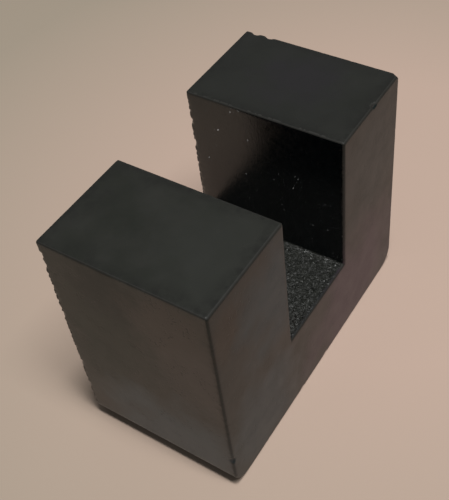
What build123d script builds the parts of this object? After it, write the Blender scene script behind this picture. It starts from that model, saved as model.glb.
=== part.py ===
from build123d import *
import os
from math import sqrt

os.makedirs("parts", exist_ok=True)

# Ferrite U-core half, standing on its back with both legs up. Millimetres.
# The origin is the middle of the back face: X runs from one leg to the other,
# Y through the thickness of the U, and Z up the legs to the pole faces.

# Outside size
core_length = 24.8  # over both legs
core_thickness = 12.8  # from one U-shaped face to the other
core_height = 19.6  # from the back to the pole faces

# Legs and bridge
leg_width = 8.4  # each leg, along the length
bridge_height = 7.5  # from the back to the floor of the winding window

# Rounds
back_corner_radius = 1.6  # the two outer corners of the back
root_radius = 0.25  # where each leg meets the floor of the window
edge_break = 0.15  # tumbled edges of the pole faces and of both U-shaped faces

# Chips out of the edges: a chip is a shallow round bite
nick_radius = 0.55  # bite radius of a small nick
nick_depth = 0.22  # how deep it cuts, measured in from the sharp edge
corner_chip_radius = 1.6  # bite radius of the chipped corner of a leg
corner_chip_depth = 0.26  # how deep it cuts, measured in from the sharp corner

# Distance of each nick down its leg's edge from the pole face
outer_edge_nicks = (1.3, 2.2, 12.8, 15.6)
inner_edge_nicks = (2.8, 4.9)
front_edge_nick = 16.0

# Distance of each nick along a pole face's edge, from the corner of the leg
pole_side_nicks = (0.9, 2.1)
pole_front_nick = 3.9

# Distance of each nick along the front edge of the back, from the middle
back_edge_nicks = (-2.9, 0.8)

window_width = core_length - 2 * leg_width
window_depth = core_height - bridge_height
half_length = core_length / 2
half_thickness = core_thickness / 2
half_window = window_width / 2


def edge_bite(corner, outward, radius, depth):
    """Place of a round bite that cuts a given depth into a sharp edge or corner."""
    size = sqrt(sum(step * step for step in outward))
    reach = (radius - depth) / size
    return tuple(place + step * reach for place, step in zip(corner, outward))


# Places of the nicks, each with the direction that points out of its edge
nicks = []
for drop in outer_edge_nicks:
    nicks.append(((-half_length, half_thickness, core_height - drop), (-1, 1, 0)))
for drop in inner_edge_nicks:
    nicks.append(((half_window, half_thickness, core_height - drop), (-1, 1, 0)))
nicks.append(((-half_length, -half_thickness, core_height - front_edge_nick), (-1, -1, 0)))
for along in pole_side_nicks:
    nicks.append(((half_length, half_thickness - along, core_height), (1, 0, 1)))
nicks.append(((half_length - pole_front_nick, -half_thickness, core_height), (0, -1, 1)))
for along in back_edge_nicks:
    nicks.append(((along, -half_thickness, 0), (0, -1, -1)))

# The outer front corner of one leg has lost more, mostly off its end edge
corner_chip = edge_bite(
    (half_length, -half_thickness, core_height), (2, -1, 2), corner_chip_radius, corner_chip_depth
)

with BuildPart() as u_core:
    # The U is one profile, pressed through the thickness
    with BuildSketch(Plane.XZ) as profile:
        with BuildLine() as outline:
            Polyline(
                (-half_length, 0),
                (half_length, 0),
                (half_length, core_height),
                (half_window, core_height),
                (half_window, bridge_height),
                (-half_window, bridge_height),
                (-half_window, core_height),
                (-half_length, core_height),
                close=True,
            )
        make_face()
        fillet(profile.vertices().group_by(Axis.Y)[1], radius=root_radius)
        fillet(profile.vertices().group_by(Axis.Y)[0], radius=back_corner_radius)
    extrude(amount=half_thickness, both=True)

    # Tumbled edges: all round the two U-shaped faces, and across the pole faces
    u_face_edges = u_core.faces().filter_by(Axis.Y).edges()
    pole_edges = u_core.faces().group_by(Axis.Z)[-1].edges().filter_by(Axis.Y)
    fillet([*u_face_edges, *pole_edges], radius=edge_break)

    # Small nicks along the edges
    with Locations([edge_bite(corner, outward, nick_radius, nick_depth) for corner, outward in nicks]):
        Sphere(nick_radius, mode=Mode.SUBTRACT)

    # Chipped corner of one leg
    with Locations(corner_chip):
        Sphere(corner_chip_radius, mode=Mode.SUBTRACT)

u_core.part.label = "u_core"
export_step(u_core.part, "parts/u_core.step")

print("window", window_width, "x", window_depth, "mm")
print("volume", round(u_core.part.volume, 1), "cubic mm")
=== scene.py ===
"""The looks of a ferrite U-core half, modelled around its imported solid.

The core is one pressed and sintered piece: two legs on a bridge, with a winding
window between them. It stands on its back with the ground pole faces up. The
model is shaped in millimetres and brought to metres when it is whole.
"""

import logging
import math
from collections.abc import Callable, Iterable
from dataclasses import dataclass
from enum import Enum

import bpy
import numpy as np
from mathutils import Matrix, Vector

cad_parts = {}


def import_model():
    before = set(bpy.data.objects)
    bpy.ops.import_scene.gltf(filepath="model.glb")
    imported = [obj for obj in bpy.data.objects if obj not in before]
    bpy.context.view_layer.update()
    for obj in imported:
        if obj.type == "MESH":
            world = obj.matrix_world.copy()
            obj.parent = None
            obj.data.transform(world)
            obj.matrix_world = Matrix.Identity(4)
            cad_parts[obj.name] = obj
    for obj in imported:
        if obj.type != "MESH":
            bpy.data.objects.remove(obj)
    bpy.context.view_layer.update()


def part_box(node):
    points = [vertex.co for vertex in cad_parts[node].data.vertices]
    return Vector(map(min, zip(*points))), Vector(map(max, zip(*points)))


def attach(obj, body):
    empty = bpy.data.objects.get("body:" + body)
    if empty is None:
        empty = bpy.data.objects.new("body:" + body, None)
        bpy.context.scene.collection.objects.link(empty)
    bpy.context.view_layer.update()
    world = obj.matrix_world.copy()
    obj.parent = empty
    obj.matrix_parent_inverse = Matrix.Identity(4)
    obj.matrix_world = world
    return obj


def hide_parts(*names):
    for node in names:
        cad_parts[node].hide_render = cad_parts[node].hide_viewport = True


MM = 0.001
NODE = "u_core"
WEAR_AND_SHADE_ATTRIBUTE = "edge_wear_and_shade"

SAME_PLACE = 1e-3  # millimetres within which two places count as one
LEVEL = 0.97  # upward share of the normal from which a face is level
UPRIGHT = 0.2  # upward share of the normal below which a face is upright

log = logging.getLogger("u_core_scene")

Colour = tuple[float, float, float]
Point = tuple[float, float, float]


class Surface(Enum):
    """The six kinds of surface on the core, numbered as their material slots."""

    END = 0
    POLE = 1
    WALL = 2
    FLOOR = 3
    FACE = 4
    RIM = 5


class Element(Enum):
    """What is picked in edit mode, with Blender's three select flags."""

    EDGE = (False, True, False)
    FACE = (False, False, True)


def deselect_all() -> None:
    """Leaves edit mode and clears the selection of objects."""
    if bpy.context.object and bpy.context.object.mode != "OBJECT":
        bpy.ops.object.mode_set(mode="OBJECT")
    bpy.ops.object.select_all(action="DESELECT")


def make_active(piece: bpy.types.Object) -> None:
    """Selects one object alone and makes it the active one.

    Args:
        piece: The object to work on.
    """
    deselect_all()
    piece.select_set(True)
    bpy.context.view_layer.objects.active = piece


def pick(piece: bpy.types.Object, element: Element, test: Callable[[list[Vector]], bool]) -> None:
    """Enters edit mode with the edges or faces selected that pass a test.

    Args:
        piece: The mesh object.
        element: Edges or faces.
        test: Takes the corner points of one edge or face and says if it is picked.
    """
    make_active(piece)
    mesh = piece.data
    for kind in (mesh.vertices, mesh.edges, mesh.polygons):
        kind.foreach_set("select", [False] * len(kind))
    for item in mesh.edges if element is Element.EDGE else mesh.polygons:
        item.select = test([mesh.vertices[index].co for index in item.vertices])
    bpy.context.tool_settings.mesh_select_mode = element.value
    bpy.ops.object.mode_set(mode="EDIT")


def apply_modifier(piece: bpy.types.Object, kind: str, **settings: object) -> None:
    """Adds a modifier, sets it and applies it.

    Args:
        piece: The mesh object.
        kind: The modifier's type.
        **settings: Its attributes.
    """
    make_active(piece)
    modifier = piece.modifiers.new(kind.lower(), kind)
    for name, value in settings.items():
        setattr(modifier, name, value)
    bpy.ops.object.modifier_apply(modifier=modifier.name)


def falloff(distance: np.ndarray, width: float) -> np.ndarray:
    """Smooth weight that is one at no distance and zero from a width on."""
    share = np.clip(1 - distance / width, 0, 1)
    return share * share * (3 - 2 * share)


def distance_to_path(points: np.ndarray, path: list[tuple[float, float]]) -> np.ndarray:
    """Distance of flat points to a closed path of straight runs.

    Args:
        points: One row of two coordinates for each point.
        path: The corners of the path in order.

    Returns:
        One distance for each point.
    """
    nearest = np.full(len(points), np.inf)
    for start, end in zip(path, path[1:] + path[:1]):
        first = np.array(start)
        run = np.array(end) - first
        along = np.clip((points - first) @ run / (run @ run), 0, 1)
        nearest = np.minimum(nearest, np.linalg.norm(points - first - np.outer(along, run), axis=1))
    return nearest


def vertex_array(piece: bpy.types.Object) -> np.ndarray:
    """Places of a mesh's vertices.

    Args:
        piece: The mesh object.

    Returns:
        One row of three coordinates for each vertex.
    """
    spots = np.empty(len(piece.data.vertices) * 3)
    piece.data.vertices.foreach_get("co", spots)
    return spots.reshape(-1, 3)


def store_group(piece: bpy.types.Object, name: str, weights: np.ndarray, steps: int = 20) -> None:
    """Stores weights as a vertex group, rounded to a number of steps.

    Args:
        piece: The mesh object.
        name: The group's name.
        weights: One weight for each vertex.
        steps: How many weights above zero are told apart.
    """
    group = piece.vertex_groups.new(name=name)
    rounded = np.rint(weights * steps).astype(int)
    for step in range(1, steps + 1):
        group.add(np.flatnonzero(rounded == step).tolist(), step / steps, "REPLACE")


@dataclass(frozen=True)
class Chip:
    """One round bite out of an edge or corner, in millimetres."""

    corner: Point
    outward: Point
    radius: float
    depth: float

    def centre(self) -> Vector:
        """Middle of the round bite."""
        return Vector(self.corner) + Vector(self.outward).normalized() * (self.radius - self.depth)


@dataclass(frozen=True)
class Crumble:
    """Cloud noise that moves the surface along its normals, where a vertex group has weight.

    The size of its lumps and its travel are in millimetres, and negative travel is
    inwards. The noise is black up to one level and white from another one on.
    """

    name: str
    group: str
    size: float
    black: float
    white: float
    travel: float

    def texture(self) -> bpy.types.Texture:
        """Makes the noise.

        Returns:
            The texture.
        """
        texture = bpy.data.textures.new(self.name, "CLOUDS")
        texture.noise_scale = self.size
        texture.noise_depth = 2
        texture.use_color_ramp = True
        ends = ((self.black, (0, 0, 0, 1)), (self.white, (1, 1, 1, 1)))
        for element, (position, colour) in zip(texture.color_ramp.elements, ends):
            element.position = position
            element.color = colour
        return texture

    def move(self, piece: bpy.types.Object) -> None:
        """Moves the surface of a piece.

        Args:
            piece: The mesh object.
        """
        apply_modifier(
            piece,
            "DISPLACE",
            texture=self.texture(),
            texture_coords="LOCAL",
            direction="NORMAL",
            vertex_group=self.group,
            strength=self.travel,
            mid_level=0.0,
        )


@dataclass(frozen=True)
class Bands:
    """How far damage, wear with painted edge shade and the kinds of surface reach over the core, in
    millimetres.
    """

    damage: float = 0.45  # in from a sharp edge
    flash_start: float = 0.4  # down from the pole faces
    flash_fade: float = 0.6
    side_wear_and_shade: float = 0.5  # in from an edge of a U-shaped face
    side_wear_and_shade_start: float = 0.5  # down from the pole faces
    side_wear_and_shade_fade: float = 1.5
    pole_wear_and_shade: float = 1.0  # in from an edge of a pole face
    pole_skin: float = 0.1  # down from the pole faces
    skin: float = 0.06  # in from the pressed sides
    skin_margin: float = 0.4  # left out at the back and at the pole faces
    floor: float = 0.2  # up and down from the window's floor
    floor_margin: float = 0.05  # left out beside the window's walls
    floor_edge: float = 0.5  # in from the U-shaped faces
    floor_fade: float = 0.35
    side: float = 0.12  # in from the sides that a face counts with


@dataclass
class CoreShape:
    """The modelled core, in millimetres, with the origin in the middle of its back."""

    length: float
    thickness: float
    height: float
    leg_width: float = 8.4
    bridge_height: float = 7.5
    back_corner_radius: float = 1.6
    back_corner_segments: int = 16
    root_radius: float = 0.25
    edge_break: float = 0.15
    edge_segments: int = 4
    nick_radius: float = 0.55
    nick_depth: float = 0.22
    corner_chip_radius: float = 1.6
    corner_chip_depth: float = 0.26
    bite_subdivisions: int = 4
    outer_edge_nicks: tuple[float, ...] = (1.3, 2.2, 12.8, 15.6)
    inner_edge_nicks: tuple[float, ...] = (2.8, 4.9)
    front_edge_nick: float = 16.0
    pole_side_nicks: tuple[float, ...] = (0.9, 2.1)
    pole_front_nick: float = 3.9
    back_edge_nicks: tuple[float, ...] = (-2.9, 0.8)
    grid: float = 0.09
    most_triangles: int = 190_000
    bands: Bands = Bands()
    crumbles: tuple[Crumble, ...] = (
        Crumble("flash_crumbs", "flash", size=0.32, black=0.45, white=0.75, travel=-0.10),
        Crumble("flash_grit", "flash", size=0.18, black=0.4, white=0.7, travel=-0.05),
        Crumble("edge_crumbs", "edge", size=0.26, black=0.55, white=0.75, travel=-0.012),
        Crumble("floor_crystals", "floor", size=0.2, black=0.35, white=0.7, travel=-0.035),
        Crumble("skin_pits", "skin", size=0.28, black=0.68, white=0.8, travel=-0.005),
    )

    @property
    def half_window(self) -> float:
        """Half the width of the winding window."""
        return self.length / 2 - self.leg_width

    def build(self) -> bpy.types.Object:
        """Models the whole core.

        Returns:
            The finished mesh object, in millimetres.
        """
        piece = self.block()
        self.round_edges(piece)
        self.knock_out_chips(piece)
        apply_modifier(piece, "REMESH", mode="VOXEL", voxel_size=self.grid, use_smooth_shade=True)
        self.weigh(piece)
        for crumble in self.crumbles:
            crumble.move(piece)
        self.thin_out(piece)
        self.store_wear_and_shade(piece)
        return piece

    def block(self) -> bpy.types.Object:
        """Sharp U: a bridge with two legs extruded from its ends.

        Returns:
            The mesh object.
        """
        deselect_all()
        bpy.ops.mesh.primitive_cube_add(
            size=1,
            location=(0, 0, self.bridge_height / 2),
            scale=(self.length, self.thickness, self.bridge_height),
        )
        piece = bpy.context.object
        piece.name = "core"
        bpy.ops.object.transform_apply(location=True, rotation=True, scale=True)
        for side in (-self.half_window, self.half_window):
            pick(piece, Element.FACE, lambda corners: True)
            bpy.ops.mesh.bisect(plane_co=(side, 0, 0), plane_no=(1, 0, 0), threshold=1e-5)
        pick(piece, Element.FACE, self.is_leg_foot)
        bpy.ops.mesh.extrude_region_move(
            TRANSFORM_OT_translate={"value": (0, 0, self.height - self.bridge_height)}
        )
        bpy.ops.object.mode_set(mode="OBJECT")
        return piece

    def is_leg_foot(self, corners: list[Vector]) -> bool:
        """True for the top faces of the bridge that the legs grow from."""
        middle = sum(corners, Vector()) / len(corners)
        return middle.z > self.bridge_height - SAME_PLACE and abs(middle.x) > self.half_window

    def round_edges(self, piece: bpy.types.Object) -> None:
        """Rounds the back's corners, the window's roots and the tumbled edges.

        Args:
            piece: The sharp U.
        """
        pick(piece, Element.EDGE, lambda ends: self.runs_across(ends, self.length / 2, 0))
        bpy.ops.mesh.bevel(offset=self.back_corner_radius, segments=self.back_corner_segments)
        pick(piece, Element.EDGE, lambda ends: self.runs_across(ends, self.half_window, self.bridge_height))
        bpy.ops.mesh.bevel(offset=self.root_radius, segments=self.edge_segments)
        pick(piece, Element.EDGE, self.is_tumbled)
        bpy.ops.mesh.bevel(offset=self.edge_break, segments=self.edge_segments)
        bpy.ops.object.mode_set(mode="OBJECT")

    def runs_across(self, ends: list[Vector], x: float, z: float) -> bool:
        """True for an edge through the thickness, at a distance from the middle and a height."""
        return all(abs(abs(end.x) - x) < SAME_PLACE and abs(end.z - z) < SAME_PLACE for end in ends)

    def is_tumbled(self, ends: list[Vector]) -> bool:
        """Says if an edge runs round a U-shaped face or across a pole face.

        Args:
            ends: The two ends of the edge.

        Returns:
            True for a tumbled edge.
        """
        if all(abs(end.y - ends[0].y) < SAME_PLACE for end in ends):
            middle = (ends[0] + ends[1]) / 2
            spot = np.array([[middle.x, middle.z]])
            return bool(distance_to_path(spot, self.outline())[0] < self.back_corner_radius / 2)
        return all(end.z > self.height - SAME_PLACE for end in ends)

    def outline(self) -> list[tuple[float, float]]:
        """Corners of the U-shaped face, as length and height."""
        half, window = self.length / 2, self.half_window
        return [
            (-half, 0),
            (half, 0),
            (half, self.height),
            (window, self.height),
            (window, self.bridge_height),
            (-window, self.bridge_height),
            (-window, self.height),
            (-half, self.height),
        ]

    def chips(self) -> Iterable[Chip]:
        """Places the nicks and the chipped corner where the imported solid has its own.

        Returns:
            Each chip in turn.
        """
        half, deep, top = self.length / 2, self.thickness / 2, self.height
        nicks = [((-half, deep, top - drop), (-1, 1, 0)) for drop in self.outer_edge_nicks]
        nicks += [((self.half_window, deep, top - drop), (-1, 1, 0)) for drop in self.inner_edge_nicks]
        nicks += [((-half, -deep, top - self.front_edge_nick), (-1, -1, 0))]
        nicks += [((half, deep - along, top), (1, 0, 1)) for along in self.pole_side_nicks]
        nicks += [((half - self.pole_front_nick, -deep, top), (0, -1, 1))]
        nicks += [((along, -deep, 0), (0, -1, -1)) for along in self.back_edge_nicks]
        for corner, outward in nicks:
            yield Chip(corner, outward, self.nick_radius, self.nick_depth)
        yield Chip((half, -deep, top), (2, -1, 2), self.corner_chip_radius, self.corner_chip_depth)

    def knock_out_chips(self, piece: bpy.types.Object) -> None:
        """Cuts every chip out of the core.

        Args:
            piece: The rounded U.
        """
        for chip in self.chips():
            deselect_all()
            bpy.ops.mesh.primitive_ico_sphere_add(
                subdivisions=self.bite_subdivisions, radius=chip.radius, location=chip.centre()
            )
            bite = bpy.context.object
            apply_modifier(piece, "BOOLEAN", operation="DIFFERENCE", object=bite, solver="FAST")
            bpy.data.objects.remove(bite)

    def weigh(self, piece: bpy.types.Object) -> None:
        """Stores how much each vertex takes of edge damage, window roughness and skin pits.

        Args:
            piece: The remeshed core.
        """
        spots = vertex_array(piece)
        store_group(piece, "flash", self.flash_weight(spots))
        store_group(piece, "edge", self.edge_weight(spots))
        store_group(piece, "floor", self.floor_weight(spots))
        store_group(piece, "skin", self.skin_weight(spots))

    def to_side_edge(self, spots: np.ndarray) -> np.ndarray:
        """Distance of each vertex to the nearest edge of a U-shaped face."""
        to_face = self.thickness / 2 - np.abs(spots[:, 1])
        return distance_to_path(spots[:, [0, 2]], self.outline()) + to_face

    def to_leg_side(self, spots: np.ndarray) -> np.ndarray:
        """Distance of each vertex to the nearest side of a leg, along the length."""
        x = np.abs(spots[:, 0])
        return np.minimum(np.abs(x - self.length / 2), np.abs(x - self.half_window))

    def below_pole(self, spots: np.ndarray, start: float, fade: float) -> np.ndarray:
        """Weight that grows from zero to one over a fade, from a start below the pole faces."""
        return np.clip((self.height - start - spots[:, 2]) / fade, 0, 1)

    def edge_weight(self, spots: np.ndarray) -> np.ndarray:
        """Nearness to an edge of a U-shaped face or of a pole face."""
        to_pole_edge = self.to_leg_side(spots) + self.height - spots[:, 2]
        return falloff(np.minimum(self.to_side_edge(spots), to_pole_edge), self.bands.damage)

    def wear_and_shade_weight(self, spots: np.ndarray) -> np.ndarray:
        """Nearness to an edge for the finishes' wear and painted edge shade: narrow on the sides, wider on
        the pole faces.

        Args:
            spots: The places of the vertices.

        Returns:
            One weight for each vertex.
        """
        bands = self.bands
        below = self.below_pole(spots, bands.side_wear_and_shade_start, bands.side_wear_and_shade_fade)
        on_side = falloff(self.to_side_edge(spots), bands.side_wear_and_shade) * below
        to_pole_edge = np.minimum(self.to_leg_side(spots), self.thickness / 2 - np.abs(spots[:, 1]))
        on_pole = falloff(to_pole_edge, bands.pole_wear_and_shade) * (spots[:, 2] > self.height - bands.pole_skin)
        return np.maximum(on_side, on_pole)

    def flash_weight(self, spots: np.ndarray) -> np.ndarray:
        """Nearness to the edges of the far U-shaped face, which carry the press flash.

        Args:
            spots: The places of the vertices.

        Returns:
            One weight for each vertex.
        """
        bands = self.bands
        to_outline = distance_to_path(spots[:, [0, 2]], self.outline())
        to_face = self.thickness / 2 - spots[:, 1]
        below = self.below_pole(spots, bands.flash_start, bands.flash_fade)
        return falloff(to_outline + to_face, bands.damage) * below

    def skin_weight(self, spots: np.ndarray) -> np.ndarray:
        """One on the outer pressed skin, and zero on the pole faces and in the window.

        Args:
            spots: The places of the vertices.

        Returns:
            One weight for each vertex.
        """
        x, y, z = spots.T
        outer = np.maximum(np.abs(x) - self.length / 2, np.abs(y) - self.thickness / 2)
        margin = self.bands.skin_margin
        return falloff(-outer, self.bands.skin) * (z < self.height - margin) * (z > margin)

    def floor_weight(self, spots: np.ndarray) -> np.ndarray:
        """One on the floor of the winding window, and zero elsewhere.

        Args:
            spots: The places of the vertices.

        Returns:
            One weight for each vertex.
        """
        x, y, z = spots.T
        bands = self.bands
        between_walls = np.abs(x) < self.half_window - bands.floor_margin
        floor = falloff(np.abs(z - self.bridge_height), bands.floor) * between_walls
        return floor * falloff(np.abs(y) - self.thickness / 2 + bands.floor_edge, bands.floor_fade)

    def thin_out(self, piece: bpy.types.Object) -> None:
        """Collapses the flattest parts of the mesh until few enough triangles are left.

        Args:
            piece: The core with its broken edges and rough floor.
        """
        count = sum(len(face.vertices) - 2 for face in piece.data.polygons)
        if count > self.most_triangles:
            apply_modifier(piece, "DECIMATE", ratio=self.most_triangles / count)
        make_active(piece)
        bpy.ops.object.shade_smooth()

    def store_wear_and_shade(self, piece: bpy.types.Object) -> None:
        """Stores the nearness to an edge as an attribute that the finishes read for their wear and painted
        edge shade.

        Args:
            piece: The core with its final mesh.
        """
        wear_and_shade = piece.data.attributes.new(WEAR_AND_SHADE_ATTRIBUTE, "FLOAT", "POINT")
        wear_and_shade.data.foreach_set("value", self.wear_and_shade_weight(vertex_array(piece)).astype(np.float32))
        piece.vertex_groups.clear()

    def surface_at(self, middle: Vector, normal: Vector) -> Surface:
        """Says which kind of surface a small face belongs to.

        Args:
            middle: The face's middle, in millimetres.
            normal: Its direction.

        Returns:
            The kind of surface.
        """
        rim, side = self.edge_break, self.bands.side
        on_top = middle.z > self.height - rim
        on_sill = abs(middle.z - self.bridge_height) < rim and abs(middle.y) > self.thickness / 2 - rim
        if on_top and normal.z > LEVEL:
            return Surface.POLE
        if (on_top or on_sill) and UPRIGHT < normal.z < LEVEL:
            return Surface.RIM
        if abs(middle.y) > self.thickness / 2 - side:
            return Surface.FACE
        if abs(middle.x) > self.half_window + side or middle.z < self.bridge_height - rim:
            return Surface.END
        if middle.z < self.bridge_height + side:
            return Surface.FLOOR
        return Surface.WALL

    def surface_numbers(self, piece: bpy.types.Object) -> list[int]:
        """Number of the surface that each face of the modelled core belongs to."""
        return [self.surface_at(face.center, face.normal).value for face in piece.data.polygons]


class NodeBench:
    """A small helper that adds and joins the nodes of one material or group."""

    def __init__(self, tree: bpy.types.NodeTree) -> None:
        """Takes the tree to work on."""
        self.tree = tree

    def feed(self, socket: bpy.types.NodeSocket, value: object) -> None:
        """Gives an input socket a value, or joins it to an output socket.

        Args:
            socket: The input socket.
            value: The value or the output socket.
        """
        if isinstance(value, bpy.types.NodeSocket):
            self.tree.links.new(value, socket)
        else:
            socket.default_value = value

    def add(self, kind: str, inputs: dict | None = None, **settings: object) -> bpy.types.Node:
        """Adds a node.

        Args:
            kind: The node's type name, without its ShaderNode prefix.
            inputs: Values or output sockets for its inputs, by name or number.
            **settings: The node's attributes.

        Returns:
            The node.
        """
        node = self.tree.nodes.new("ShaderNode" + kind)
        for name, value in settings.items():
            setattr(node, name, value)
        for name, value in (inputs or {}).items():
            self.feed(node.inputs[name], value)
        return node

    def math(self, operation: str, first: object, second: object = 0.0) -> bpy.types.NodeSocket:
        """Adds a Math node and returns its result."""
        return self.add("Math", {0: first, 1: second}, operation=operation).outputs[0]

    def vector(self, operation: str, first: object, second: object, output: str = "Vector") -> object:
        """Adds a Vector Math node and returns its vector, or its value on request."""
        return self.add("VectorMath", {0: first, 1: second}, operation=operation).outputs[output]

    def spread(
        self, value: object, low: float, high: float, to_low: object = 0.0, to_high: object = 1.0
    ) -> bpy.types.NodeSocket:
        """Adds a Map Range node that turns one range into another, clamped, and returns its result."""
        return self.add("MapRange", {0: value, 1: low, 2: high, 3: to_low, 4: to_high}).outputs[0]

    def noise(self, vector: object, size: object, detail: float = 2.0) -> bpy.types.NodeSocket:
        """Adds noise whose lumps have a size in metres, and returns its value."""
        scale = self.math("DIVIDE", 1.0, size)
        return self.add("TexNoise", {"Vector": vector, "Scale": scale, "Detail": detail}).outputs["Fac"]

    def blend(self, share: object, first: object, second: object) -> bpy.types.NodeSocket:
        """Adds a colour mix.

        Args:
            share: How much of the second colour is taken.
            first: The first colour, with its alpha.
            second: The second colour, with its alpha.

        Returns:
            The mixed colour.
        """
        mix = self.add("Mix", data_type="RGBA")
        for number, value in ((0, share), (6, first), (7, second)):
            self.feed(mix.inputs[number], value)
        return mix.outputs[2]


def node_group(name: str, inputs: dict[str, str], outputs: dict[str, str]) -> tuple:
    """Makes an empty shader node group with named sockets.

    Args:
        name: The group's name.
        inputs: Socket type by input name.
        outputs: Socket type by output name.

    Returns:
        The group, its bench, its given inputs by name and its results to be joined, by name.
    """
    group = bpy.data.node_groups.new(name, "ShaderNodeTree")
    for direction, sockets in (("INPUT", inputs), ("OUTPUT", outputs)):
        for label, kind in sockets.items():
            group.interface.new_socket(name=label, in_out=direction, socket_type="NodeSocket" + kind)
    start = group.nodes.new("NodeGroupInput")
    end = group.nodes.new("NodeGroupOutput")
    return group, NodeBench(group), start.outputs, end.inputs


def grain_group() -> bpy.types.NodeTree:
    """Fine sintered grain over soft mottling, as a height and a mask.

    Returns:
        The node group.
    """
    group, bench, given, result = node_group(
        "sintered_grain",
        {"Vector": "Vector", "Grain Size": "Float", "Mottle Size": "Float"},
        {"Height": "Float", "Mottle": "Float"},
    )
    fine = bench.noise(given["Vector"], given["Grain Size"], detail=3.0)
    broad = bench.noise(given["Vector"], given["Mottle Size"], detail=4.0)
    bench.feed(result["Height"], fine)
    bench.feed(result["Mottle"], bench.spread(broad, low=0.35, high=0.65))
    return group


def wear_and_shade_group() -> bpy.types.NodeTree:
    """Broken-up wear and painted shade along the edges, read from the mesh's own attribute.

    Returns:
        The node group.
    """
    group, bench, given, result = node_group(
        "edge_wear_and_shade", {"Vector": "Vector", "Patch Size": "Float"}, {"Mask": "Float"}
    )
    near = bench.add("Attribute", attribute_name=WEAR_AND_SHADE_ATTRIBUTE).outputs["Fac"]
    broken = bench.noise(given["Vector"], given["Patch Size"])
    patch = bench.spread(broken, low=0.4, high=0.6, to_low=0.3)
    bench.feed(result["Mask"], bench.math("MULTIPLY", near, patch))
    return group


def pit_group() -> bpy.types.NodeTree:
    """Small dark pits that gather in loose clusters.

    Returns:
        The node group.
    """
    group, bench, given, result = node_group(
        "skin_pits",
        {"Vector": "Vector", "Pit Size": "Float", "Cluster Size": "Float", "Cover": "Float"},
        {"Mask": "Float"},
    )
    cluster_pull = 0.6
    bare_limit = 1.13
    sharpness = 12.0
    spots = bench.noise(given["Vector"], given["Pit Size"], detail=1.0)
    cluster = bench.noise(given["Vector"], given["Cluster Size"])
    likely = bench.math("ADD", spots, bench.math("MULTIPLY", cluster, cluster_pull))
    limit = bench.math("SUBTRACT", bare_limit, given["Cover"])
    depth = bench.math("MULTIPLY", bench.math("SUBTRACT", likely, limit), sharpness)
    bench.feed(result["Mask"], bench.add("Clamp", {"Value": depth}).outputs[0])
    return group


def stain_and_sheen_group() -> bpy.types.NodeTree:
    """A patch of another tone around one place, with a soft ragged edge.

    Returns:
        The node group.
    """
    group, bench, given, result = node_group(
        "soft_stain_and_sheen", {"Vector": "Vector", "Place": "Vector", "Reach": "Float"}, {"Mask": "Float"}
    )
    lump_share = 0.5
    raggedness = 1.6
    full_mask = 0.75
    away = bench.vector("DISTANCE", given["Vector"], given["Place"], output="Value")
    lumps = bench.noise(given["Vector"], bench.math("MULTIPLY", given["Reach"], lump_share), detail=5.0)
    shifted = bench.math("MULTIPLY", bench.math("SUBTRACT", lumps, 0.5), raggedness)
    share = bench.math("ADD", bench.math("DIVIDE", away, given["Reach"]), shifted)
    bench.feed(result["Mask"], bench.spread(share, low=0.45, high=1.15, to_low=full_mask, to_high=0.0))
    return group


def crystal_group() -> bpy.types.NodeTree:
    """Crystal facets: each cell is a small plane, tilted its own way, and some cells are left flat.

    Returns:
        The node group.
    """
    group, bench, given, result = node_group(
        "crystal_facets",
        {"Vector": "Vector", "Crystal Size": "Float", "Tilt": "Float", "Share": "Float"},
        {"Height": "Float", "Shade": "Float"},
    )
    no_lean = (0.5, 0.5, 0.5)
    steepest = 2.0
    scale = bench.math("DIVIDE", 1.0, given["Crystal Size"])
    cells = bench.add("TexVoronoi", {"Vector": given["Vector"], "Scale": scale}).outputs
    chance = bench.add("SeparateColor", {0: cells["Color"]}).outputs
    lean = bench.vector("SUBTRACT", cells["Color"], no_lean)
    offset = bench.vector("SUBTRACT", given["Vector"], cells["Position"])
    plane = bench.vector("DOT_PRODUCT", offset, lean, output="Value")
    tilted = bench.math("MULTIPLY", plane, bench.math("MULTIPLY", given["Tilt"], steepest))
    shown = bench.math("LESS_THAN", chance["Red"], given["Share"])
    bench.feed(result["Height"], bench.math("MULTIPLY", tilted, shown))
    bench.feed(result["Shade"], chance["Green"])
    return group


def grinding_group() -> bpy.types.NodeTree:
    """Long fine marks of the grinding wheel, with faint smudges over them.

    Returns:
        The node group.
    """
    group, bench, given, result = node_group(
        "grinding_marks",
        {"Vector": "Vector", "Mark Width": "Float", "Smudge Size": "Float"},
        {"Height": "Float", "Smudge": "Float"},
    )
    drawn_out = (1.0, 0.03, 1.0)
    drawn = bench.add("Mapping", {"Vector": given["Vector"], "Scale": drawn_out}).outputs[0]
    lines = bench.noise(drawn, given["Mark Width"])
    smudge = bench.noise(given["Vector"], given["Smudge Size"], detail=5.0)
    bench.feed(result["Height"], lines)
    bench.feed(result["Smudge"], bench.spread(smudge, low=0.4, high=0.7))
    return group


@dataclass
class Coat:
    """A finish in the making: its nodes, and the colour, roughness and height so far."""

    bench: NodeBench
    groups: dict[str, bpy.types.NodeTree]
    place: bpy.types.NodeSocket
    colour: bpy.types.NodeSocket | None = None
    rough: bpy.types.NodeSocket | None = None
    height: bpy.types.NodeSocket | None = None

    def layer(self, name: str, inputs: dict[str, object]) -> bpy.types.NodeOutputs:
        """Adds a shared group.

        Args:
            name: The group's short name.
            inputs: Its values by name, apart from the coordinates.

        Returns:
            Its outputs by name.
        """
        group = self.bench.add("Group", {"Vector": self.place, **inputs}, node_tree=self.groups[name])
        return group.outputs

    def tint(self, share: bpy.types.NodeSocket, colour: Colour) -> None:
        """Takes a share of another colour."""
        self.colour = self.bench.blend(share, self.colour, (*colour, 1))

    def lift(self, height: bpy.types.NodeSocket) -> None:
        """Adds to the height."""
        self.height = self.bench.math("ADD", self.height, height)


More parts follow.
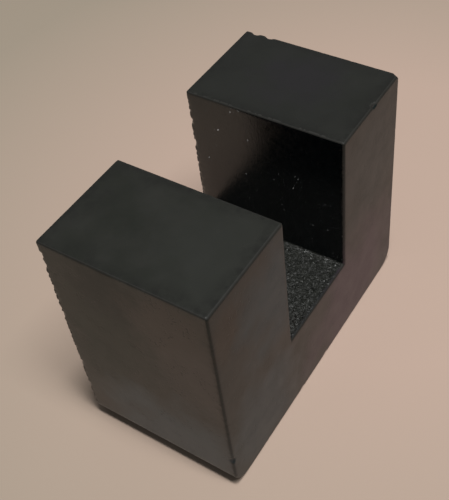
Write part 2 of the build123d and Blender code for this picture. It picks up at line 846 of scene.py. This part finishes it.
@dataclass(frozen=True)
class StainAndSheen:
    """One patch of another tone on a finish, in millimetres: mostly stains, and on the end faces also a
    painted reflection.
    """

    place: Point
    reach: float
    colour: Colour

    def add_to(self, coat: Coat) -> None:
        """Adds the patch to a finish."""
        inputs = {"Place": [part * MM for part in self.place], "Reach": self.reach * MM}
        coat.tint(coat.layer("stain_and_sheen", inputs)["Mask"], self.colour)


@dataclass(frozen=True)
class FerriteFinish:
    """One finish of the ferrite, with sizes and depths in millimetres."""

    name: str
    dark: Colour
    light: Colour
    # Edge tone: where it is darker than the face it is painted shade, where lighter it is wear; it also tints
    # the pits.
    worn_and_shaded: Colour
    smooth: float
    dull: float
    grain_size: float
    grain_depth: float
    mottle_size: float
    refraction: float = 1.5
    worn_dull: float = 0.5
    full_wear: float = 0.8
    patch_size: float = 0.6
    stains_and_sheens: tuple[StainAndSheen, ...] = ()
    crystal_size: float = 0.15
    crystal_tilt: float = 0.0
    crystal_share: float = 0.0
    mark_width: float = 0.12
    mark_depth: float = 0.0
    smudge_size: float = 3.0
    smudge_dullness: float = 0.0
    pit_cover: float = 0.0
    pit_size: float = 0.18
    pit_depth: float = 0.008
    pit_tint: float = 0.6

    def material(self, groups: dict[str, bpy.types.NodeTree]) -> bpy.types.Material:
        """Builds the material.

        Args:
            groups: The shared node groups by name.

        Returns:
            The material.
        """
        material = bpy.data.materials.new(self.name)
        material.use_nodes = True
        material.node_tree.nodes.clear()
        bench = NodeBench(material.node_tree)
        coat = Coat(bench, groups, bench.add("TexCoord").outputs["Object"])
        grain = coat.layer(
            "grain", {"Grain Size": self.grain_size * MM, "Mottle Size": self.mottle_size * MM}
        )
        wear_and_shade = coat.layer("wear_and_shade", {"Patch Size": self.patch_size * MM})["Mask"]
        coat.colour = bench.blend(grain["Mottle"], (*self.dark, 1), (*self.light, 1))
        for stain_and_sheen in self.stains_and_sheens:
            stain_and_sheen.add_to(coat)
        coat.rough = bench.spread(grain["Mottle"], 0.0, 1.0, to_low=self.smooth, to_high=self.dull)
        coat.height = bench.math("MULTIPLY", grain["Height"], self.grain_depth * MM)
        if self.mark_depth:
            self.grind(coat)
        if self.pit_cover:
            self.pit(coat)
        if self.crystal_share:
            self.crystallise(coat)
        # Edges take the edge tone: darker on the end and pole faces as painted shade, lighter elsewhere as
        # wear.
        coat.tint(wear_and_shade, self.worn_and_shaded)
        coat.rough = bench.spread(wear_and_shade, 0.0, self.full_wear, to_low=coat.rough, to_high=self.worn_dull)
        bump = bench.add("Bump", {"Height": coat.height, "Distance": 1.0, "Strength": 1.0})
        shader = bench.add(
            "BsdfPrincipled",
            {
                "Base Color": coat.colour,
                "Roughness": coat.rough,
                "Normal": bump.outputs["Normal"],
                "IOR": self.refraction,
            },
        )
        bench.add("OutputMaterial", {"Surface": shader.outputs[0]})
        return material

    def grind(self, coat: Coat) -> None:
        """Adds the grinding marks and smudges.

        Args:
            coat: The finish so far.
        """
        marks = coat.layer(
            "grinding", {"Mark Width": self.mark_width * MM, "Smudge Size": self.smudge_size * MM}
        )
        duller = coat.bench.math("MULTIPLY", marks["Smudge"], self.smudge_dullness)
        coat.rough = coat.bench.math("ADD", coat.rough, duller)
        coat.lift(coat.bench.math("MULTIPLY", marks["Height"], self.mark_depth * MM))

    def pit(self, coat: Coat) -> None:
        """Adds small pits.

        Args:
            coat: The finish so far.
        """
        sizes = {"Pit Size": self.pit_size * MM, "Cluster Size": self.mottle_size * MM}
        pits = coat.layer("pits", {**sizes, "Cover": self.pit_cover})["Mask"]
        coat.tint(coat.bench.math("MULTIPLY", pits, self.pit_tint), self.worn_and_shaded)
        coat.lift(coat.bench.math("MULTIPLY", pits, -self.pit_depth * MM))

    def crystallise(self, coat: Coat) -> None:
        """Adds crystal facets.

        Args:
            coat: The finish so far.
        """
        slopes = {"Tilt": self.crystal_tilt, "Share": self.crystal_share}
        facets = coat.layer("crystals", {"Crystal Size": self.crystal_size * MM, **slopes})
        coat.tint(facets["Shade"], self.light)
        coat.lift(facets["Height"])


FINISHES = {
    Surface.END: FerriteFinish(
        name="pressed_ferrite_with_painted_light",
        # Base colours far lighter than on the U-shaped faces: partly painted light falling on the ends,
        # partly their die-wall finish.
        dark=(0.018, 0.018, 0.015),
        light=(0.052, 0.047, 0.042),
        # Darker edges on the end faces: painted shade.
        worn_and_shaded=(0.010, 0.008, 0.007),
        smooth=0.32,
        dull=0.38,
        grain_size=0.14,
        grain_depth=0.002,
        mottle_size=1.5,
        refraction=1.363,
        worn_dull=0.4,
        pit_cover=0.17,
        stains_and_sheens=(
            StainAndSheen((-12.4, 2.4, 13.0), 4.2, (0.014, 0.020, 0.014)),
            StainAndSheen((-12.4, 1.6, 17.2), 3.0, (0.004, 0.006, 0.006)),
            StainAndSheen((-12.4, 4.0, 8.5), 4.2, (0.004, 0.012, 0.008)),
            StainAndSheen((-12.4, -3.5, 16.0), 4.0, (0.078, 0.058, 0.050)),
            StainAndSheen((-12.4, -5.4, 12.0), 3.8, (0.076, 0.060, 0.056)),
            # Lighter and bluer towards the foot: painted reflection of the bright table.
            StainAndSheen((-12.4, -1.2, 1.2), 7.0, (0.062, 0.088, 0.106)),
        ),
    ),
    Surface.FACE: FerriteFinish(
        name="punched_ferrite",
        dark=(0.003, 0.006, 0.006),
        light=(0.009, 0.011, 0.010),
        worn_and_shaded=(0.012, 0.013, 0.013),
        smooth=0.32,
        dull=0.38,
        grain_size=0.14,
        grain_depth=0.002,
        mottle_size=1.4,
        refraction=1.358,
        worn_dull=0.4,
        pit_cover=0.10,
        stains_and_sheens=(
            StainAndSheen((-11.0, -6.4, 16.6), 2.4, (0.016, 0.009, 0.004)),
            StainAndSheen((-5.2, -6.4, 14.5), 5.0, (0.006, 0.028, 0.040)),
            StainAndSheen((6.0, -6.4, 3.2), 7.5, (0.046, 0.022, 0.042)),
            StainAndSheen((-8.5, -6.4, 3.5), 5.5, (0.016, 0.034, 0.044)),
            StainAndSheen((9.0, -6.4, 14.5), 6.0, (0.003, 0.012, 0.015)),
        ),
    ),
    Surface.POLE: FerriteFinish(
        name="ground_ferrite",
        dark=(0.0155, 0.0165, 0.0130),
        light=(0.0208, 0.0210, 0.0176),
        # Darker edges on the pole faces: painted shade.
        worn_and_shaded=(0.0120, 0.0120, 0.0105),
        smooth=0.24,
        dull=0.28,
        grain_size=0.09,
        grain_depth=0.001,
        mottle_size=2.4,
        mark_depth=0.001,
        smudge_dullness=0.03,
        worn_dull=0.26,
        stains_and_sheens=(
            StainAndSheen((-8.4, -5.0, 19.6), 5.0, (0.0232, 0.0242, 0.0205)),
            StainAndSheen((8.2, 0.0, 19.6), 9.0, (0.0152, 0.0156, 0.0138)),
            StainAndSheen((8.8, -0.5, 19.6), 3.2, (0.0176, 0.0160, 0.0176)),
        ),
    ),
    Surface.RIM: FerriteFinish(
        name="tumbled_ferrite",
        dark=(0.0170, 0.0167, 0.0145),
        light=(0.0250, 0.0245, 0.0215),
        worn_and_shaded=(0.0200, 0.0195, 0.0170),
        smooth=0.55,
        dull=0.65,
        grain_size=0.12,
        grain_depth=0.003,
        mottle_size=1.0,
        refraction=1.3,
        worn_dull=0.6,
    ),
    Surface.WALL: FerriteFinish(
        name="window_wall_ferrite",
        # Colours far darker than the same ferrite on the end faces: painted shade in the window between the
        # legs.
        dark=(0.0006, 0.0012, 0.0018),
        light=(0.0016, 0.0026, 0.0034),
        worn_and_shaded=(0.0020, 0.0018, 0.0016),
        smooth=0.15,
        dull=0.24,
        grain_size=0.12,
        grain_depth=0.010,
        mottle_size=0.5,
        refraction=1.6,
        worn_dull=0.3,
        crystal_size=0.036,
        crystal_tilt=3.0,
        crystal_share=0.008,
    ),
    Surface.FLOOR: FerriteFinish(
        name="window_floor_ferrite",
        dark=(0.0022, 0.0030, 0.0018),
        light=(0.0112, 0.0122, 0.0086),
        worn_and_shaded=(0.001, 0.001, 0.001),
        smooth=0.42,
        dull=0.55,
        grain_size=0.08,
        grain_depth=0.012,
        mottle_size=0.5,
        worn_dull=0.55,
        pit_cover=0.40,
        pit_size=0.17,
        pit_depth=0.03,
        stains_and_sheens=(StainAndSheen((-3.4, -5.4, 7.5), 2.4, (0.0040, 0.0015, 0.0008)),),
        crystal_size=0.10,
        crystal_tilt=0.22,
        crystal_share=1.0,
    ),
}


@dataclass
class FerriteCore:
    """The one piece of the object."""

    shape: CoreShape

    def build(self) -> bpy.types.Object:
        """Models the core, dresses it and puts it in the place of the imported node.

        Returns:
            The finished piece.
        """
        piece = self.shape.build()
        piece.name = "ferrite_core"
        piece.data.name = "ferrite_core"
        self.dress(piece)
        make_active(piece)
        piece.scale = (MM, MM, MM)
        bpy.ops.object.transform_apply(location=True, rotation=True, scale=True)
        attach(piece, "root")
        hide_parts(NODE)
        return piece

    def dress(self, piece: bpy.types.Object) -> None:
        """Gives the mesh one material for each kind of surface.

        Args:
            piece: The modelled core.
        """
        groups = {
            "grain": grain_group(),
            "wear_and_shade": wear_and_shade_group(),
            "pits": pit_group(),
            "stain_and_sheen": stain_and_sheen_group(),
            "crystals": crystal_group(),
            "grinding": grinding_group(),
        }
        for surface in sorted(Surface, key=lambda kind: kind.value):
            piece.data.materials.append(FINISHES[surface].material(groups))
        piece.data.polygons.foreach_set("material_index", self.shape.surface_numbers(piece))


@dataclass(frozen=True)
class Softbox:
    """A soft lamp that leans out in front of the core, in degrees, metres and watts.

    Its length runs through the core's thickness.
    """

    name: str
    lean: float
    width: float
    length: float
    power: float


@dataclass
class Studio:
    """A pale table under soft light, with a painted pool of light around the core."""

    table_size: float = 3.0
    # Painted light on the table: the near colour is a painted pool of lamp light, the far colour is painted
    # shade.
    table_painted_light: Colour = (0.515, 0.380, 0.308)
    table_painted_shade: Colour = (0.368, 0.307, 0.239)
    painted_light_middle: Point = (0.018, -0.003, 0.0)
    painted_light_range: tuple[float, float] = (0.018, 0.050)
    table_roughness: float = 0.75
    table_shine: float = 0.2
    sky_colour: Colour = (0.13, 0.135, 0.135)
    lamp_across: float = -0.024
    lamp_distance: float = 0.42
    lamps: tuple[Softbox, ...] = (
        Softbox("softbox", lean=7, width=0.050, length=0.074, power=1.04),
        Softbox("softbox_end", lean=20, width=0.080, length=0.118, power=0.67),
    )

    def build(self) -> None:
        """Makes the table, the lamps and the world."""
        self.table()
        for softbox in self.lamps:
            self.lamp(softbox)
        self.sky()

    def table(self) -> None:
        """Makes the pale table that the core stands on, brighter and warmer around it than far off: a painted
        pool of lamp light that fades to painted shade.
        """
        deselect_all()
        bpy.ops.mesh.primitive_plane_add(size=self.table_size, location=(0, 0, 0))
        table = bpy.context.object
        table.name = "table"
        material = bpy.data.materials.new("pale_table")
        material.use_nodes = True
        shader = material.node_tree.nodes["Principled BSDF"]
        bench = NodeBench(material.node_tree)
        place = bench.add("TexCoord").outputs["Object"]
        # Blends from the painted pool of light around the core to the painted shade far off.
        away = bench.vector("DISTANCE", place, self.painted_light_middle, output="Value")
        painted_shade_share = bench.spread(away, *self.painted_light_range)
        bench.feed(
            shader.inputs["Base Color"],
            bench.blend(painted_shade_share, (*self.table_painted_light, 1), (*self.table_painted_shade, 1)),
        )
        bench.feed(shader.inputs["Roughness"], self.table_roughness)
        bench.feed(shader.inputs["Specular IOR Level"], self.table_shine)
        table.data.materials.append(material)

    def over(self, lean: float) -> Point:
        """Place above the near end of the core, leaning out in front of it by some degrees."""
        angle = math.radians(lean)
        return (self.lamp_across, -math.sin(angle) * self.lamp_distance, math.cos(angle) * self.lamp_distance)

    def lamp(self, softbox: Softbox) -> None:
        """Adds a soft lamp that points down at the core.

        Args:
            softbox: The lamp's name, lean, size and power.
        """
        lamp = bpy.data.lights.new(softbox.name, "AREA")
        lamp.shape = "RECTANGLE"
        lamp.size, lamp.size_y = softbox.width, softbox.length
        lamp.energy = softbox.power
        place = Vector(self.over(softbox.lean))
        aim = Vector((self.lamp_across, 0, 0)) - place
        holder = bpy.data.objects.new(softbox.name, lamp)
        holder.location = place
        holder.rotation_euler = aim.to_track_quat("-Z", "Y").to_euler()
        bpy.context.scene.collection.objects.link(holder)

    def sky(self) -> None:
        """Makes the dim even surroundings."""
        world = bpy.data.worlds.new("surroundings")
        world.use_nodes = True
        world.node_tree.nodes["Background"].inputs["Color"].default_value = (*self.sky_colour, 1)
        bpy.context.scene.world = world


@dataclass
class PhotoCamera:
    """The camera at the photograph's place, with millimetres, degrees and shares of the sensor."""

    place: Point = (-34.65, -26.52, 58.03)
    azimuth: float = -53.477
    elevation: float = 46.592
    roll: float = -6.571
    lens: float = 62.99
    shift: tuple[float, float] = (-0.05, -0.0408)
    nearest: float = 1.0

    def build(self) -> None:
        """Makes the camera and gives it to the scene."""
        data = bpy.data.cameras.new("camera")
        data.lens = self.lens
        data.shift_x, data.shift_y = self.shift
        data.clip_start = self.nearest * MM
        camera = bpy.data.objects.new("camera", data)
        turn, lift = math.radians(self.azimuth), math.radians(self.elevation)
        back = Vector((math.sin(turn) * math.cos(lift), -math.cos(turn) * math.cos(lift), math.sin(lift)))
        level = (-back).to_track_quat("-Z", "Y").to_matrix().to_4x4()
        rolled = level @ Matrix.Rotation(math.radians(self.roll), 4, "Z")
        camera.matrix_world = Matrix.Translation(Vector(self.place) * MM) @ rolled
        bpy.context.scene.collection.objects.link(camera)
        bpy.context.scene.camera = camera


def main() -> None:
    """Builds the camera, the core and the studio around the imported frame."""
    logging.basicConfig(level=logging.INFO, format="%(name)s: %(message)s")
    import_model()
    low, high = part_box(NODE)
    size = (high - low) / MM
    PhotoCamera().build()
    core = FerriteCore(CoreShape(size.x, size.y, size.z)).build()
    log.info("%s: %d faces", core.name, len(core.data.polygons))
    Studio().build()
    bpy.context.scene.view_settings.view_transform = "Standard"


if __name__ == "__main__":
    main()
